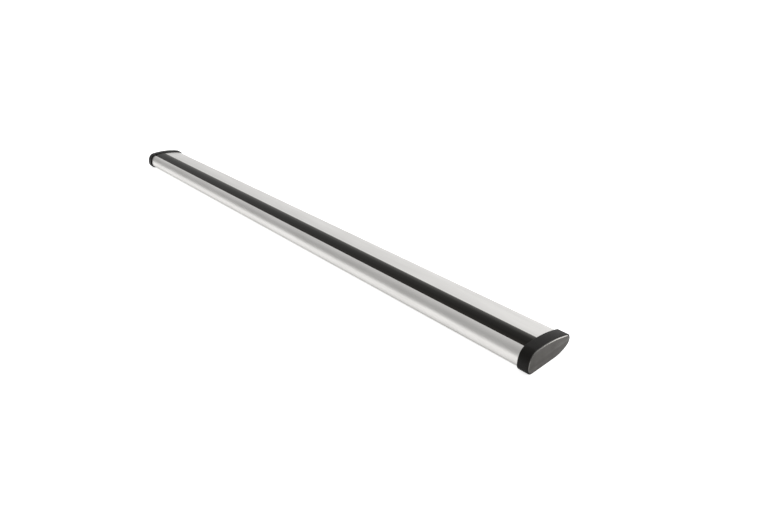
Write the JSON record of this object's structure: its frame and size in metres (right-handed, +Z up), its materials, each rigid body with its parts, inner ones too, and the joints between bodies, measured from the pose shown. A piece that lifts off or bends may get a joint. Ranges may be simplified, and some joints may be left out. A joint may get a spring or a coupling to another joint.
{
  "type": "roof rack crossbar",
  "caption": "Aluminium wing-section roof crossbar with a slot above and below, rubber infill strips, and a screwed-on end cap with a face plate at each end.",
  "frame": {"origin": "under the middle of the bar, on the surface that its end caps rest on", "axes": "+X along the bar towards the end nearest the camera in the picture, +Y across it from the blunt leading edge to the thin tail, +Z up"},
  "size_m": [1.2, 0.0848, 0.0328],
  "materials": {
    "anodised_aluminium": "satin anodised, fine extrusion lines along the bar",
    "strip_rubber": "smooth matt rubber",
    "cap_plastic": "fine-grained matt black plastic",
    "plate_plastic": "satin dark grey with a bright bevel along its upper edge",
    "screw_steel": "plain zinc-plated steel"
  },
  "bodies": {
    "root": {"bar_profile": "anodised_aluminium", "top_strip": "strip_rubber", "lower_strip_middle": "strip_rubber", "lower_strip_left": "strip_rubber", "lower_strip_right": "strip_rubber", "end_cap_left": "cap_plastic", "end_cap_right": "cap_plastic", "face_plate_left": "plate_plastic", "face_plate_right": "plate_plastic", "screw_left_front": "screw_steel", "screw_left_rear": "screw_steel", "screw_right_front": "screw_steel", "screw_right_rear": "screw_steel"}
  },
  "joints": []
}
